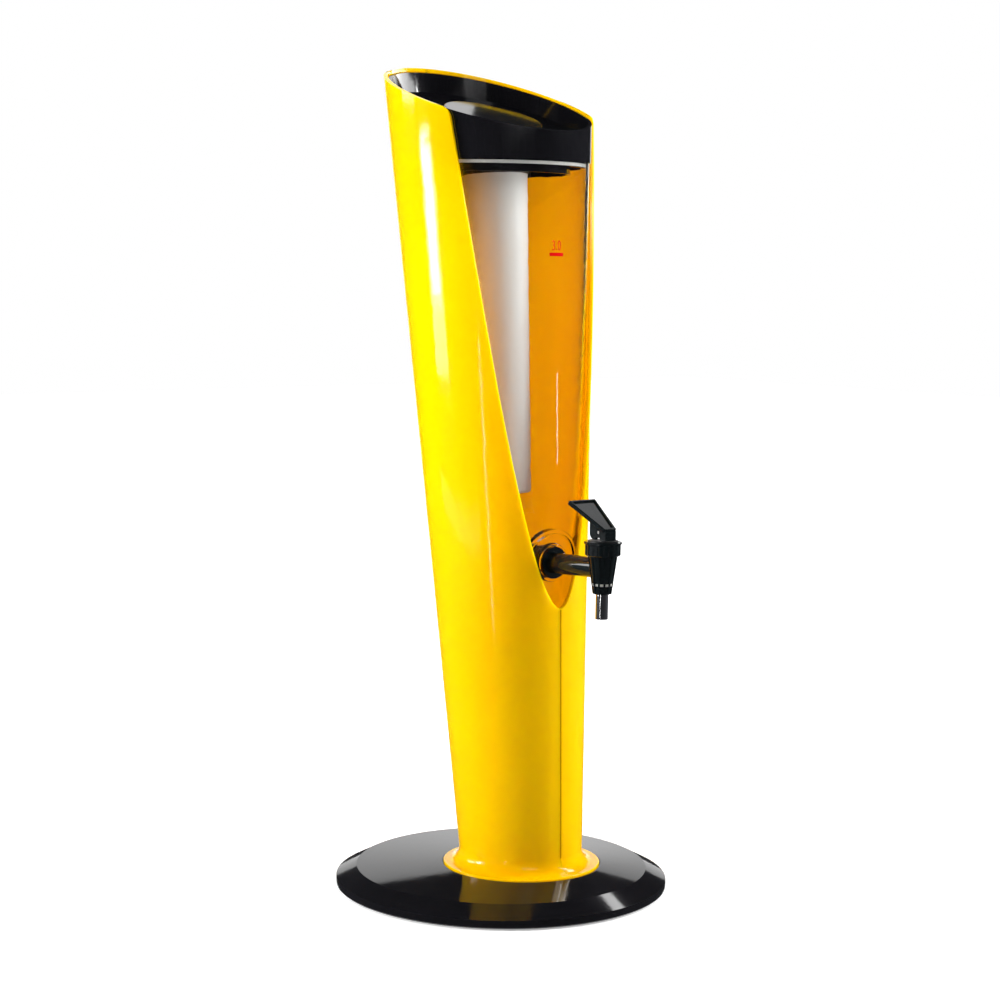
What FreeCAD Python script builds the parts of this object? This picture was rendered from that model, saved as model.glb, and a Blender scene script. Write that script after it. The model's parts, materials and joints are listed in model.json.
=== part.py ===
import FreeCAD, Part
import math
import os
import Sketcher

# Free-standing drink tower with a self-closing tap. Millimetres, +Z up, tap towards -Y.
# The origin is the middle of the round base plate, on the surface that it stands on.

SIZES = [
    # round base plate
    ("plate_radius", 127.5, "outer radius of the base plate"),
    ("plate_underside", 1.2, "height of the plate's lower edge above the table"),
    ("plate_rim_top", 7.5, "top of the plate's upright edge"),
    ("plate_face_radius", 112, "outer radius of the top face, inside the bevel"),
    ("plate_face_level", 15.5, "height of the top face at the bevel"),
    ("crown_level", 22.6, "height of the top face at the tower's flange"),
    ("plate_wall", 3.3, "wall of the plate"),
    ("plate_edge_chamfer", 1, "chamfer along the plate's lower edge"),
    # tower foot and flange
    ("tower_offset", 24.3, "tower foot axis ahead of the plate's middle"),
    ("flange_radius", 59.8, "radius of the tower's flange"),
    ("flange_thickness", 3.6, "thickness of the flange"),
    ("flange_gap", 0.8, "gap round the flange in its recess"),
    ("recess_depth", 2.1, "depth of the recess for the flange"),
    ("flange_fillet", 10, "fillet from the flange into the tower"),
    ("flange_edge_round", 0.8, "round on the flange's outer edge"),
    # leaning cone of the tower
    ("foot_level", 20, "height where the cone's foot radius holds"),
    ("foot_radius", 46.3, "outer radius of the tower at the foot"),
    ("cone_top_level", 640, "height where the cone's top radius holds"),
    ("cone_top_radius", 82.4, "outer radius of the cone at its top"),
    ("cone_back_shift", 52.8, "how far the cone's axis leans back up to its top"),
    ("shell_wall", 3, "wall of the yellow shell"),
    ("seam_gap", 0.3, "joint line between the two shell halves"),
    # slanted top and front opening
    ("rim_level", 585.9, "height of the slanted top plane above the foot axis"),
    ("rim_angle", 18, "slope of the top plane, down to the front, degrees"),
    ("opening_tip_level", 223.5, "lowest point of the front opening"),
    ("opening_shoulder", 12, "opening edge behind the foot axis at the top plane"),
    ("opening_bow", 11000, "radius of the opening edge, seen from the side"),
    ("opening_corner_radius", 11, "round where opening and top plane meet"),
    # shelf inside the tower
    ("ledge_level", 203.5, "top of the ledge that carries the shelf"),
    ("ledge_thickness", 4, "thickness of the ledge"),
    ("ledge_width", 9, "width of the ledge"),
    ("seat_thickness", 4, "thickness of the container's shelf"),
    ("seat_hole_radius", 22, "drain hole in the shelf"),
    ("seat_clearance", 0.4, "shelf to shell"),
    ("pad_thickness", 2.5, "thickness of the rubber ring on the shelf"),
    ("pad_inner_radius", 28, "inner radius of the rubber ring"),
    ("pad_outer_radius", 43.5, "outer radius of the rubber ring"),
    # clear container
    ("container_gap", 0.8, "container bead and lid to shell"),
    ("bead_width", 1, "how far the rim bead stands out of the container wall"),
    ("bead_height", 5, "height of the rim bead"),
    ("container_wall", 2.5, "wall of the container"),
    ("container_floor", 3, "floor of the container"),
    ("container_top", 554.3, "height of the container's rim"),
    ("container_base_round", 5, "round along the container's bottom edge"),
    ("bead_round", 1.6, "round of the rim bead"),
    # tap pad and tap hole
    ("tap_level", 257, "height of the tap's shank"),
    ("pad_face_reach", 28.2, "flat tap pad ahead of the foot axis"),
    ("tap_pad_radius", 22, "radius of the arched tap pad"),
    ("boss_radius", 14.7, "radius of the raised ring round the tap hole"),
    ("boss_height", 2.5, "height of the raised ring"),
    ("shank_radius", 7.9, "radius of the tap's shank"),
    ("shank_body_radius", 7.3, "radius of the shank where it meets the tap body"),
    ("shank_rise", 1.8, "slope of the drafted shank up to the tap body, degrees"),
    ("shank_clearance", 0.2, "shank to tap hole"),
    ("washer_radius", 11.9, "radius of the washers and of the tap's collar"),
    ("washer_clearance", 0.3, "washer to raised ring"),
    ("outer_washer_thickness", 2.5, "thickness of the outer washer"),
    ("inner_washer_thickness", 2, "thickness of the inner washer"),
    ("collar_thickness", 2.5, "thickness of the tap's collar"),
    ("nut_thickness", 6, "thickness of the tap nut"),
    ("nut_circumradius", 13.8, "centre to corner of the tap nut"),
    ("shank_end", 3, "shank past the nut"),
    ("shank_bore", 4.5, "radius of the shank's bore"),
    # tap body and bonnet
    ("tap_reach", 86.2, "tap axis ahead of the tower's foot axis"),
    ("body_bottom", 240.3, "lower end of the tap body"),
    ("body_low_radius", 6.5, "radius of the tap body at its lower end"),
    ("body_top", 268, "upper end of the tapered tap body"),
    ("body_top_radius", 10.4, "radius of the tap body at its upper end"),
    ("neck_radius", 10.2, "radius of the neck inside the bonnet"),
    ("neck_top", 275, "top of the neck inside the bonnet"),
    ("chamber_radius", 7.6, "radius of the valve chamber"),
    ("chamber_floor", 246, "floor of the valve chamber"),
    ("body_rib_count", 12, "ribs round the tap body"),
    ("body_rib_width", 1.5, "width of a body rib"),
    ("body_rib_height", 0.5, "how far a body rib stands out"),
    ("bonnet_low", 268.4, "lower end of the bonnet"),
    ("bonnet_radius", 13, "radius of the bonnet's ribbed skirt"),
    ("bonnet_rim_radius", 13.9, "radius of the bonnet's top rim"),
    ("bonnet_rim_height", 2, "height of the bonnet's top rim"),
    ("bonnet_top", 278.6, "top of the bonnet"),
    ("bonnet_plate", 3, "thickness of the bonnet's top"),
    ("thread_clearance", 0.15, "threads, drawn as plain cylinders"),
    ("groove_count", 22, "grooves round the bonnet"),
    ("groove_radius", 0.8, "radius of a bonnet groove"),
    ("spout_bottom", 221.6, "lower end of the spout tube"),
    ("spout_radius", 4.7, "outer radius of the spout tube"),
    ("spout_wall", 0.8, "wall of the spout tube"),
    ("spout_neck_radius", 4.4, "outer radius of the spout tube's end inside the tap body"),
    ("spout_collar_gap", 1, "spout tube's shoulder below the tap body"),
    ("spout_clearance", 0.05, "spout tube to its socket"),
    ("outlet_land", 1.5, "valve seat above the spout tube"),
    # stem, valve and spring
    ("stem_radius", 2.4, "radius of the valve stem"),
    ("stem_clearance", 0.1, "stem to bonnet and washer"),
    ("stem_top", 287.6, "top of the stem"),
    ("cup_radius", 6.9, "radius of the silicone valve"),
    ("cup_height", 6, "height of the silicone valve"),
    ("cup_gap", 0.3, "valve to chamber floor"),
    ("cup_skirt", 1.5, "depth of the hollow under the valve"),
    ("spring_radius", 4.4, "middle radius of the spring"),
    ("spring_wire", 0.5, "radius of the spring's wire"),
    ("spring_turns", 5, "turns of the spring"),
    ("slip_radius", 11, "radius of the slip washer"),
    ("slip_thickness", 0.8, "thickness of the slip washer"),
    # lever
    ("pin_level", 285.4, "height of the lever's pin"),
    ("pin_radius", 1.2, "radius of the lever's pin"),
    ("pin_clearance", 0.05, "lever to pin"),
    ("lever_width", 10.4, "width of the lever's cheeks"),
    ("paddle_low_width", 11.6, "width of the paddle's lower end"),
    ("lever_slot", 5.2, "slot between the cheeks for the stem"),
    ("slot_spare", 1.1, "room round the stem for the lever's travel"),
    ("lever_gap", 0.3, "lever above the slip washer"),
    ("lever_front", 8, "front leg ahead of the stem"),
    ("front_leg", 5.2, "thickness of the front leg"),
    ("lobe_back", 9, "rear lobe behind the stem"),
    ("lobe_front", 3.2, "front of the rear lobe behind the stem"),
    ("lobe_radius", 5, "radius of the rear lobe's cam"),
    ("notch_height", 1.8, "height of the notch between leg and lobe"),
    ("paddle_angle", 30.5, "slope of the lever's paddle, degrees"),
    ("paddle_length", 37, "length of the paddle"),
    ("paddle_width", 25.8, "width of the paddle's upper end"),
    ("paddle_thickness", 3.4, "thickness of the paddle"),
    ("paddle_level", 288.3, "height of the paddle's lower edge"),
    ("tray_rim", 1.6, "rim round the paddle's dished face"),
    ("tray_depth", 1.3, "depth of the paddle's dished face"),
    # lid
    ("lid_wall", 2.4, "wall of the lid"),
    ("lid_rim_drop", 1.2, "lid's edge below the slanted top"),
    ("dish_drop", 15.5, "lid's floor below the slanted top"),
    ("dish_thickness", 2.5, "thickness of the lid's floor"),
    ("lip_inset", 9, "locating lip inside the outer cone"),
    ("lip_wall", 2, "wall of the locating lip"),
    ("lip_depth", 3.8, "lip below the container's rim"),
    ("lip_web", 2.2, "web that carries the locating lip"),
    ("seal_inset", 7.6, "lid seal inside the outer cone"),
    ("seal_height", 2.4, "height of the lid seal"),
    ("skirt_radius", 58, "radius of the lid's inner skirt"),
    ("skirt_wall", 2, "wall of the inner skirt"),
    ("skirt_depth", 8.5, "inner skirt below the container's rim"),
    ("socket_radius", 30.6, "outer radius of the ice tube's socket"),
    ("socket_low", -2, "lower end of the socket along its axis"),
    ("socket_shoulder", 10.7, "shoulder of the socket along its axis"),
    ("socket_clearance", 0.4, "ice tube to socket"),
    # ice tube and cap, lengths along the tube's own axis from the container's rim
    ("tube_radius", 25, "outer radius of the ice tube's upper part"),
    ("tube_low_radius", 18.5, "outer radius of the ice tube's lower end"),
    ("tube_wall", 2, "wall of the ice tube"),
    ("tube_floor", 2.5, "floor of the ice tube"),
    ("tube_taper_start", -9, "where the tube starts to taper"),
    ("tube_bottom", -251, "lower end of the ice tube"),
    ("tube_base_round", 3, "round at the ice tube's lower end"),
    ("tube_flange_radius", 28, "radius of the ice tube's flange"),
    ("tube_flange_height", 2.1, "height of the ice tube's flange"),
    ("tube_seal_height", 1.2, "height of the seal under the flange"),
    ("tube_seal_gap", 0.1, "seal above the socket's shoulder"),
    ("collar_low", -9.8, "lower end of the ribbed collar"),
    ("collar_high", -2.4, "upper end of the ribbed collar"),
    ("collar_radius", 26.2, "radius of the ribbed collar"),
    ("collar_rib_count", 24, "ribs round the collar"),
    ("collar_rib_radius", 1, "radius of a collar rib"),
    ("lug_width", 2.4, "width of a lug under the collar"),
    ("lug_depth", 2.6, "how far a lug hangs below the collar"),
    ("lug_angle", -40, "direction of the first lug, degrees from +X"),
    ("collar_clearance", 0.05, "collar to ice tube"),
    ("cap_radius", 39, "radius of the ice tube's cap"),
    ("cap_thickness", 4.6, "thickness of the cap"),
    ("cap_round", 2.1, "round of the cap's top edge"),
    ("plug_clearance", 0.5, "cap's plug to ice tube"),
    ("plug_wall", 2, "wall of the cap's plug"),
    ("plug_low", -4, "lower end of the plug along the tube's axis"),
    ("cap_seal_low", 0, "lower edge of the cap's seal"),
    ("cap_seal_height", 2, "height of the cap's seal"),
    ("cap_seal_proud", 0.25, "how far the cap's seal stands out of the plug"),
    # base cover, ballast, feet and screws
    ("cover_radius", 119.5, "radius of the base cover"),
    ("cover_thickness", 2.5, "thickness of the base cover"),
    ("cover_screw_circle", 98, "radius of the cover screws' circle"),
    ("cover_screw_count", 6, "cover screws"),
    ("cover_post_radius", 4.5, "radius of the posts for the cover screws"),
    ("cavity_radius", 120.5, "radius of the hollow in the plate at its mouth"),
    ("cavity_level", 12, "ceiling of the plate's hollow under the bevel"),
    ("cavity_top_radius", 106, "radius of the hollow's ceiling"),
    ("ballast_radius", 90, "radius of the steel ballast"),
    ("ballast_thickness", 8, "thickness of the steel ballast"),
    ("foot_pad_circle", 107, "radius of the rubber feet's circle"),
    ("foot_pad_radius", 8, "radius of a rubber foot"),
    ("foot_pad_height", 2.2, "height of a rubber foot"),
    ("foot_pad_gap", 0.2, "rubber foot to its pocket"),
    ("small_screw", 1.5, "shank radius of the small screws"),
    ("small_head", 3, "head radius of the small screws"),
    ("small_head_height", 1.5, "head height of the small screws"),
    ("small_length", 9, "length of the small screws"),
    ("large_screw", 2, "shank radius of the shell screws"),
    ("large_head", 3.8, "head radius of the shell screws"),
    ("large_head_height", 2.6, "head height of the shell screws"),
    ("large_length", 14, "length of the shell screws"),
    ("shell_post_radius", 4.8, "radius of the shell's screw posts"),
    ("shell_post_circle", 39.6, "radius of the shell screws' circle"),
    ("shell_post_height", 17, "height of the shell's screw posts"),
    ("screw_clearance", 0.05, "screws to their holes"),
    ("pilot_spare", 1, "hole past the end of a screw"),
    ("dowel_radius", 1.5, "radius of the seam dowels"),
    ("dowel_length", 9, "length of the seam dowels"),
    ("dowel_low_level", 105, "height of the lower pair of dowels"),
    ("dowel_high_level", 165, "height of the upper pair of dowels"),
    ("dowel_pad", 6, "half width and depth of the blocks that hold the dowels"),
]

os.makedirs("parts", exist_ok=True)
doc = FreeCAD.newDocument("drink_tower")


class Size:
    """A number and the expression over the sheet that gives it."""

    def __init__(self, value, text):
        self.value = value
        self.text = text

    def __add__(self, other):
        other = as_size(other)
        return Size(self.value + other.value, "(%s + %s)" % (self.text, other.text))

    def __sub__(self, other):
        other = as_size(other)
        return Size(self.value - other.value, "(%s - %s)" % (self.text, other.text))

    def __mul__(self, other):
        other = as_size(other)
        return Size(self.value * other.value, "(%s * %s)" % (self.text, other.text))

    def __truediv__(self, other):
        other = as_size(other)
        return Size(self.value / other.value, "(%s / %s)" % (self.text, other.text))

    def __neg__(self):
        return Size(-self.value, "(0 - %s)" % self.text)

    __radd__ = __add__

    def __rsub__(self, other):
        return as_size(other) - self


def as_size(thing):
    if isinstance(thing, Size):
        return thing
    return Size(float(thing), "(%r)" % float(thing))


class Dims:
    """The sheet's cells by name."""


def make_sheet():
    sheet = doc.addObject("Spreadsheet::Sheet", "Sizes")
    for row, (name, number, meaning) in enumerate(SIZES, start=1):
        sheet.set("A%d" % row, name)
        sheet.set("B%d" % row, str(number))
        sheet.setAlias("B%d" % row, name)
        sheet.set("C%d" % row, meaning)
        setattr(Dims, name, Size(float(number), "Sizes." + name))
    doc.recompute()


make_sheet()
dims = Dims

# Heights and radii that follow from the sheet

tan_rim = Size(math.tan(math.radians(dims.rim_angle.value)), "tan(Sizes.rim_angle * 1deg)")
cone_height = dims.cone_top_level - dims.foot_level
cone_growth = (dims.cone_top_radius - dims.foot_radius) / cone_height
cone_lean = dims.cone_back_shift / cone_height
lean_angle = math.degrees(math.atan(cone_lean.value))
lean_turn = FreeCAD.Rotation(FreeCAD.Vector(1, 0, 0), -lean_angle)
recess_floor = dims.crown_level - dims.recess_depth
cover_top = dims.plate_underside + dims.cover_thickness
seat_top = dims.ledge_level + dims.seat_thickness
container_bottom = seat_top + dims.pad_thickness
tap_axis = -(dims.tower_offset + dims.tap_reach)
pad_face = -(dims.tower_offset + dims.pad_face_reach)
pad_back = pad_face + dims.container_floor
bead_inset = dims.shell_wall + dims.container_gap
wall_inset = bead_inset + dims.bead_width
FAR = 400.0


def cone_radius(level):
    """Outer radius of the tower's cone at a height."""
    return dims.foot_radius + cone_growth * (level - dims.foot_level)


def cone_centre(level):
    """Y of the cone's axis at a height: it leans back as it rises."""
    return cone_lean * (level - dims.foot_level) - dims.tower_offset


def rim_height(y, drop=0):
    """Height of the slanted top plane, or of one below it, at a Y."""
    return dims.rim_level - drop + tan_rim * (as_size(y) + dims.tower_offset)


# Document helpers

def bind(thing, prop, size):
    thing.setExpression(prop, as_size(size).text)


def place(thing, x=0, y=0, z=0, turn=None):
    if turn is not None:
        thing.Placement = FreeCAD.Placement(FreeCAD.Vector(), turn)
    bind(thing, "Placement.Base.x", x)
    bind(thing, "Placement.Base.y", y)
    bind(thing, "Placement.Base.z", z)
    return thing


def cylinder(name, radius, height, x=0, y=0, z=0, turn=None):
    made = doc.addObject("Part::Cylinder", name)
    bind(made, "Radius", radius)
    bind(made, "Height", height)
    return place(made, x, y, z, turn)


def cone(name, low_radius, high_radius, height, x=0, y=0, z=0):
    made = doc.addObject("Part::Cone", name)
    bind(made, "Radius1", low_radius)
    bind(made, "Radius2", high_radius)
    bind(made, "Height", height)
    return place(made, x, y, z)


def box(name, length, width, height, x=0, y=0, z=0):
    """Box centred on x, with its low Y and Z corner at y and z."""
    made = doc.addObject("Part::Box", name)
    bind(made, "Length", length)
    bind(made, "Width", width)
    bind(made, "Height", height)
    return place(made, as_size(x) - as_size(length) / 2, y, z)


def cut(name, base, tool):
    made = doc.addObject("Part::Cut", name)
    made.Base = base
    made.Tool = tool
    return made


def fuse(name, *shapes):
    made = doc.addObject("Part::MultiFuse", name)
    made.Shapes = list(shapes)
    made.Refine = True
    return made


def common(name, *shapes):
    made = doc.addObject("Part::MultiCommon", name)
    made.Shapes = list(shapes)
    return made


def group(name, shapes):
    made = doc.addObject("Part::Compound", name)
    made.Links = list(shapes)
    return made


def rounded(name, base, radius, picker):
    """Fillet on the edges of base that picker accepts."""
    doc.recompute()
    made = doc.addObject("Part::Fillet", name)
    made.Base = base
    picked = [i for i, edge in enumerate(base.Shape.Edges, start=1) if picker(edge)]
    if not picked:
        raise RuntimeError("no edge to round on " + name)
    made.Edges = [(i, radius.value, radius.value) for i in picked]
    return made


def level_circle(level, low_radius, high_radius):
    """Picker for whole circles that lie at a height, within a range of radii."""
    def picker(edge):
        bounds = edge.BoundBox
        flat = abs(bounds.ZMin - level.value) < 0.01 and abs(bounds.ZMax - level.value) < 0.01
        return flat and low_radius < bounds.XLength / 2 < high_radius
    return picker


def oblique_solid(name, rings):
    """Solid through level circles; each ring is (radius, centre y, level)."""
    circles = []
    for index, (radius, centre, level) in enumerate(rings):
        ring = doc.addObject("Part::Circle", "%s_ring_%d" % (name, index))
        bind(ring, "Radius", radius)
        circles.append(place(ring, 0, centre, level))
    made = doc.addObject("Part::Loft", name)
    made.Sections = circles
    made.Solid = True
    made.Ruled = True
    return made


def tower_cone(name, inset, low, high, spans=1):
    """Solid that follows the tower's leaning cone, set in from its outside."""
    levels = [low + (high - low) * index / spans for index in range(spans + 1)]
    rings = [(cone_radius(level) - inset, cone_centre(level), level) for level in levels]
    return oblique_solid(name, rings)


def new_body(name):
    made = doc.addObject("PartDesign::Body", name)
    made.AllowCompound = True
    return made


def origin_plane(body, role):
    return [item for item in body.Origin.OriginFeatures if item.Role == role][0]


def new_sketch(body, name, role):
    made = body.newObject("Sketcher::SketchObject", name)
    made.AttachmentSupport = (origin_plane(body, role), [""])
    made.MapMode = "FlatFace"
    return made


def outline(sketch, corners, arcs=None):
    """Closed outline through corners; arcs maps a side's number to (radius, bulge side)."""
    arcs = arcs or {}
    points = [(as_size(a), as_size(b)) for a, b in corners]
    spots = [FreeCAD.Vector(a.value, b.value, 0) for a, b in points]
    ends = []
    for index, start in enumerate(spots):
        finish = spots[(index + 1) % len(spots)]
        if index in arcs:
            radius, side = arcs[index]
            ends.append(add_arc(sketch, start, finish, as_size(radius), side))
        else:
            line = sketch.addGeometry(Part.LineSegment(start, finish), False)
            ends.append((line, 1, 2))
    for index, (geometry, first, last) in enumerate(ends):
        following = ends[(index + 1) % len(ends)]
        sketch.addConstraint(Sketcher.Constraint("Coincident", geometry, last, following[0], following[1]))
    for (geometry, first, last), (across, up) in zip(ends, points):
        for kind, size in (("DistanceX", across), ("DistanceY", up)):
            number = sketch.addConstraint(Sketcher.Constraint(kind, -1, 1, geometry, first, size.value))
            sketch.setExpression("Constraints[%d]" % number, size.text)


def add_arc(sketch, start, finish, radius, side):
    """Arc from start to finish that bulges to the left (1) or right (-1) of that line."""
    chord = finish - start
    middle = (start + finish) * 0.5
    left = FreeCAD.Vector(-chord.y, chord.x, 0)
    left.normalize()
    depth = math.sqrt(radius.value ** 2 - (chord.Length / 2) ** 2)
    centre = middle - left * side * depth
    first = math.atan2(start.y - centre.y, start.x - centre.x)
    last = math.atan2(finish.y - centre.y, finish.x - centre.x)
    circle = Part.Circle(centre, FreeCAD.Vector(0, 0, 1), radius.value)
    if side > 0:
        arc = sketch.addGeometry(Part.ArcOfCircle(circle, last, first), False)
        ends = (arc, 2, 1)
    else:
        arc = sketch.addGeometry(Part.ArcOfCircle(circle, first, last), False)
        ends = (arc, 1, 2)
    number = sketch.addConstraint(Sketcher.Constraint("Radius", arc, radius.value))
    sketch.setExpression("Constraints[%d]" % number, radius.text)
    return ends


def turned(name, corners, arcs=None):
    """Body turned about its own Z axis from a half outline of (radius, height) corners."""
    body = new_body(name)
    sketch = new_sketch(body, name + "_profile", "XZ_Plane")
    outline(sketch, corners, arcs)
    turn = body.newObject("PartDesign::Revolution", name + "_turn")
    turn.Profile = sketch
    turn.ReferenceAxis = (sketch, ["V_Axis"])
    turn.Angle = 360
    body.Tip = turn
    return body


def side_prism(name, corners, width, arcs=None):
    """Body with a side outline of (y, z) corners, as wide as given, centred on X = 0."""
    body = new_body(name)
    sketch = new_sketch(body, name + "_outline", "YZ_Plane")
    outline(sketch, corners, arcs)
    pad = body.newObject("PartDesign::Pad", name + "_pad")
    pad.Profile = sketch
    pad.SideType = "Symmetric"
    bind(pad, "Length", width)
    body.Tip = pad
    return body


def around(radius, degrees, centre_y=0):
    """X and Y of a point on a level circle."""
    turn = math.radians(degrees)
    x = as_size(radius) * math.cos(turn)
    y = as_size(radius) * math.sin(turn) + centre_y
    return x, y


NODES = []


def node(name, thing):
    """Marks a finished sub-part, which is exported under this name."""
    thing.Label = name
    NODES.append((name, thing))
    return thing


# Slanted planes as solids that hold everything above or below them

def above_rim(name, drop):
    corners = [(-FAR, rim_height(-FAR, drop)), (FAR, rim_height(FAR, drop)), (FAR, 3 * FAR), (-FAR, 3 * FAR)]
    return side_prism(name, corners, 2 * FAR)


def below_rim(name, drop):
    corners = [(-FAR, -FAR), (FAR, -FAR), (FAR, rim_height(FAR, drop)), (-FAR, rim_height(-FAR, drop))]
    return side_prism(name, corners, 2 * FAR)


# Screws, made pointing up with the top of the head's underside at their origin

def countersunk(name, x, y, z):
    """Small screw with its flat head down at z and its shank rising from it."""
    head = cone(name + "_head", dims.small_head, dims.small_screw, dims.small_head_height, x, y, z)
    shank = cylinder(name + "_shank", dims.small_screw, dims.small_length, x, y, z)
    return fuse(name, head, shank)


def countersunk_hole(name, depth, x, y, z):
    """Hole for a small screw: cone at the mouth and a straight bore above it."""
    spare = dims.screw_clearance
    head = cone(name + "_mouth", dims.small_head + spare, dims.small_screw + spare,
                dims.small_head_height, x, y, z)
    bore = cylinder(name + "_bore", dims.small_screw + spare, depth, x, y, z)
    return fuse(name, head, bore)


def pan_screw(name, x, y, z):
    """Large screw with its head below z and its shank above it."""
    head = cylinder(name + "_head", dims.large_head, dims.large_head_height, x, y, z - dims.large_head_height)
    shank = cylinder(name + "_shank", dims.large_screw, dims.large_length, x, y, z)
    return fuse(name, head, shank)


COVER_ANGLES = [360.0 / dims.cover_screw_count.value * i for i in range(int(dims.cover_screw_count.value))]
FOOT_ANGLES = [angle + 180.0 / dims.cover_screw_count.value for angle in COVER_ANGLES]
POST_ANGLES = [45, 135, 225, 315]


def make_base_plate():
    low = dims.plate_underside
    chamfer = dims.plate_edge_chamfer
    disc = turned("plate_disc", [
        (0, low),
        (dims.plate_radius - chamfer, low),
        (dims.plate_radius, low + chamfer),
        (dims.plate_radius, dims.plate_rim_top),
        (dims.plate_face_radius, dims.plate_face_level),
        (0, dims.plate_face_level)])
    crown_radius = dims.flange_radius + dims.flange_gap + 1
    crown = oblique_solid("plate_crown", [
        (dims.plate_face_radius, 0, dims.plate_face_level),
        (crown_radius, -dims.tower_offset, dims.crown_level)])
    hollow = turned("plate_hollow", [
        (0, low - 1),
        (dims.cavity_radius, low - 1),
        (dims.cavity_radius, cover_top + 1),
        (dims.cavity_top_radius, dims.cavity_level),
        (0, dims.cavity_level)])
    dome = oblique_solid("plate_dome", [
        (dims.cavity_top_radius, 0, dims.cavity_level),
        (crown_radius - dims.plate_wall, -dims.tower_offset, recess_floor - dims.plate_wall)])
    recess = cylinder("plate_recess", dims.flange_radius + dims.flange_gap, dims.recess_depth + 1,
                      0, -dims.tower_offset, recess_floor)
    tools = [hollow, dome, recess]
    for index, angle in enumerate(POST_ANGLES):
        x, y = around(dims.shell_post_circle, angle, -dims.tower_offset)
        tools.append(cylinder("plate_screw_hole_%d" % index, dims.large_screw + dims.screw_clearance,
                              recess_floor, x, y, dims.cavity_level))
    skin = cut("plate_skin", fuse("plate_solid", disc, crown), fuse("plate_tools", *tools))
    posts = []
    pilots = []
    for index, angle in enumerate(COVER_ANGLES):
        x, y = around(dims.cover_screw_circle, angle)
        posts.append(cylinder("plate_post_%d" % index, dims.cover_post_radius,
                              dims.cavity_level + 1 - cover_top, x, y, cover_top))
        pilots.append(cylinder("plate_pilot_%d" % index, dims.small_screw + dims.screw_clearance,
                               dims.small_length - dims.cover_thickness + dims.pilot_spare, x, y, cover_top))
    with_posts = fuse("plate_with_posts", skin, *posts)
    node("base_plate", cut("base_plate_body", with_posts, fuse("plate_pilots", *pilots)))


def make_base_cover():
    low = dims.plate_underside
    disc = cylinder("cover_disc", dims.cover_radius, dims.cover_thickness, 0, 0, low)
    tools = []
    screws = []
    feet = []
    for index, angle in enumerate(COVER_ANGLES):
        x, y = around(dims.cover_screw_circle, angle)
        tools.append(countersunk_hole("cover_hole_%d" % index, dims.cover_thickness + 1, x, y, low))
        screws.append(countersunk("cover_screw_%d" % index, x, y, low))
    foot_places = [around(dims.foot_pad_circle, angle) for angle in FOOT_ANGLES] + [(0, 0)]
    for index, (x, y) in enumerate(foot_places):
        tools.append(cylinder("cover_pocket_%d" % index, dims.foot_pad_radius + dims.foot_pad_gap,
                              dims.foot_pad_height, x, y, 0))
        feet.append(cylinder("foot_%d" % index, dims.foot_pad_radius, dims.foot_pad_height, x, y, 0))
    node("base_cover", cut("base_cover_body", disc, fuse("cover_tools", *tools)))
    node("cover_screws", group("cover_screw_set", screws))
    node("rubber_feet", group("foot_set", feet))


def make_ballast():
    node("ballast_plate", cylinder("ballast", dims.ballast_radius, dims.ballast_thickness, 0, 0, cover_top))


def seam_dowel(name, y, level, radius, length):
    """Pin along X across the seam."""
    across = FreeCAD.Rotation(FreeCAD.Vector(0, 1, 0), 90)
    return cylinder(name, radius, length, -(as_size(length) / 2), y, level, across)


def dowel_places():
    """Y of the front and the rear dowel at both heights, and their height."""
    for level in (dims.dowel_low_level, dims.dowel_high_level):
        inner = cone_radius(level) - dims.shell_wall
        yield "front", cone_centre(level) - inner, level
        yield "rear", cone_centre(level) + inner, level


def opening_tool():
    """Everything ahead of the front opening and above the slanted top."""
    tip = dims.opening_tip_level
    tip_y = cone_centre(tip) - cone_radius(tip)
    shoulder_y = dims.opening_shoulder - dims.tower_offset
    shoulder = rim_height(shoulder_y)
    corners = [
        (-FAR, tip),
        (tip_y, tip),
        (shoulder_y, shoulder),
        (FAR, rim_height(FAR)),
        (FAR, 3 * FAR),
        (-FAR, 3 * FAR)]
    tool = side_prism("opening_tool", corners, 2 * FAR, {1: (dims.opening_bow, 1)})

    def at_shoulder(edge):
        bounds = edge.BoundBox
        low = abs(bounds.ZMin - shoulder.value) < 0.01 and abs(bounds.ZMax - shoulder.value) < 0.01
        return low and abs(bounds.YMin - shoulder_y.value) < 0.01 and bounds.XLength > FAR

    return rounded("opening_rounded", tool, dims.opening_corner_radius, at_shoulder)


def upper_wall(other_side, low, high):
    """Upper wall of one half: its outside as a skin, trimmed at opening and seam, then thickened inwards."""
    rings = []
    for index, level in enumerate((low, high)):
        ring = doc.addObject("Part::Circle", "skin_ring_%d" % index)
        bind(ring, "Radius", cone_radius(level))
        rings.append(place(ring, 0, cone_centre(level), level))
    skin = doc.addObject("Part::Loft", "shell_skin")
    skin.Sections = rings
    skin.Solid = False
    skin.Ruled = True
    opened = cut("opened_skin", skin, opening_tool())
    wall = doc.addObject("Part::Offset", "upper_wall")
    wall.Source = cut("half_skin", opened, other_side)
    bind(wall, "Value", -dims.shell_wall)
    wall.Fill = True
    return wall


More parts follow.
